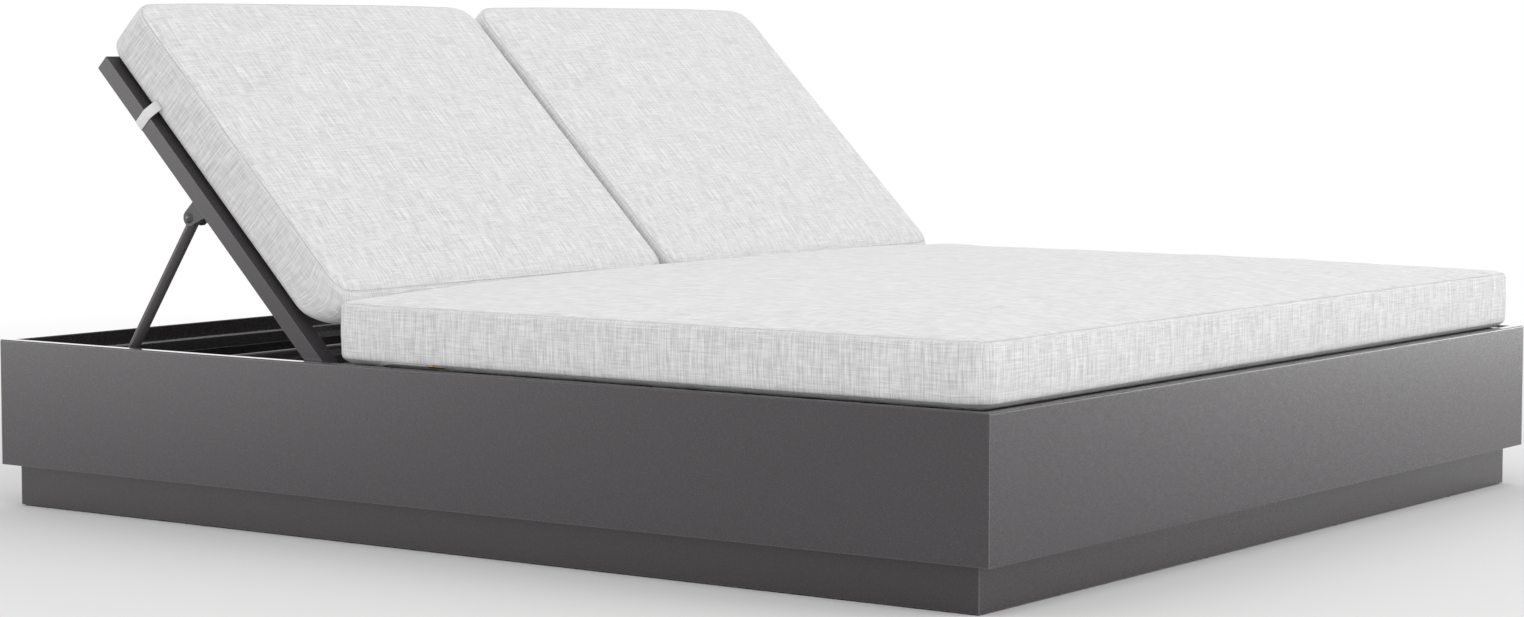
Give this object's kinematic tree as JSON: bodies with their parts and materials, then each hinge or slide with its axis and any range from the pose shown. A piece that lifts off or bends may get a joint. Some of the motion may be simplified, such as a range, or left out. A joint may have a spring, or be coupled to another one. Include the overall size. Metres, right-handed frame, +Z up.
{
  "type": "double chaise lounger",
  "caption": "Low square double lounger with a box frame on a recessed plinth, one wide seat cushion and two backrests that recline on notched props.",
  "frame": {"origin": "on the floor under the middle of the box frame", "axes": "+Z up, +Y to the head end with the backrests, +X to the right seen from the foot end"},
  "size_m": [1.83, 2.03, 0.8747],
  "materials": {
    "frame_panels": "charcoal powder coat with a very fine speckle",
    "plinth": "charcoal powder coat, satin",
    "inner_frame": "charcoal powder coat on square tube",
    "deck": "charcoal powder coat on flat tube slats",
    "back_frame": "charcoal powder coat on box tube",
    "bars": "charcoal powder coat on thin square tube",
    "props": "charcoal powder coat on bent round tube",
    "fittings": "charcoal powder coat on folded plate",
    "pins": "dark plated steel pins with domed heads",
    "screws": "plain stainless screws",
    "bushes": "black plastic sleeves",
    "glides": "black plastic glides",
    "seat_fabric": "heathered light grey and white woven outdoor fabric",
    "back_fabric": "heathered light grey and white woven outdoor fabric",
    "strap_fabric": "flat woven elastic in the fabric's grey",
    "zip_metal": "satin brass slider on the seat cushion's zip",
    "zip_tape": "grey zip tape with fine coil teeth"
  },
  "bodies": {
    "root": {"side_panel_left": "frame_panels", "side_panel_right": "frame_panels", "foot_panel": "frame_panels", "head_panel": "frame_panels", "plinth_left": "plinth", "plinth_right": "plinth", "plinth_foot": "plinth", "plinth_head": "plinth", "glides": "glides", "bottom_rail_left": "inner_frame", "bottom_rail_right": "inner_frame", "bottom_rail_foot": "inner_frame", "bottom_rail_head": "inner_frame", "lower_cross_rails": "inner_frame", "corner_posts": "inner_frame", "support_posts": "inner_frame", "ledge_left": "inner_frame", "ledge_right": "inner_frame", "ledge_foot": "inner_frame", "ledge_head": "inner_frame", "hinge_bearer": "inner_frame", "centre_beam": "inner_frame", "corner_plates": "inner_frame", "deck_slats": "deck", "slat_screws": "screws", "rack_screws": "screws", "hinge_bracket_left": "fittings", "hinge_bracket_right": "fittings", "hinge_bracket_centre": "fittings", "racks_left": "fittings", "racks_right": "fittings", "hinge_pin_left": "pins", "hinge_pin_right": "pins", "hinge_pin_centre": "pins", "seat_cushion": "seat_fabric"},
    "back_left": {"back_left_outer_rail": "back_frame", "back_left_inner_rail": "back_frame", "back_left_top_rail": "back_frame", "back_left_cross_bars": "bars", "back_left_bushes": "bushes", "back_left_prop_ears": "fittings", "back_left_prop_pins": "pins", "back_left_cushion": "back_fabric", "back_left_straps": "strap_fabric"},
    "prop_left": {"prop_left_frame": "props", "prop_left_eyes": "props"},
    "back_right": {"back_right_outer_rail": "back_frame", "back_right_inner_rail": "back_frame", "back_right_top_rail": "back_frame", "back_right_cross_bars": "bars", "back_right_bushes": "bushes", "back_right_prop_ears": "fittings", "back_right_prop_pins": "pins", "back_right_cushion": "back_fabric", "back_right_straps": "strap_fabric"},
    "prop_right": {"prop_right_frame": "props", "prop_right_eyes": "props"}
  },
  "joints": [
    {"name": "recline_left", "type": "hinge", "parent": "root", "child": "back_left", "pos_m": [-0.45, 0.2827, 0.2783], "axis": [1, 0, 0], "range_deg": [-45, 0]},
    {"name": "recline_right", "type": "hinge", "parent": "root", "child": "back_right", "pos_m": [0.45, 0.2827, 0.2783], "axis": [1, 0, 0], "range_deg": [-45, 0]},
    {"name": "prop_fold_left", "type": "hinge", "parent": "back_left", "child": "prop_left", "pos_m": [-0.45, 0.57544, 0.51447], "axis": [1, 0, 0], "range_deg": [0, 95]},
    {"name": "prop_fold_right", "type": "hinge", "parent": "back_right", "child": "prop_right", "pos_m": [0.45, 0.57544, 0.51447], "axis": [1, 0, 0], "range_deg": [0, 95]}
  ],
  "couplings": [
    {"joint": "prop_fold_left", "follows": "recline_left", "ratio": -2.1},
    {"joint": "prop_fold_right", "follows": "recline_right", "ratio": -2.1}
  ]
}
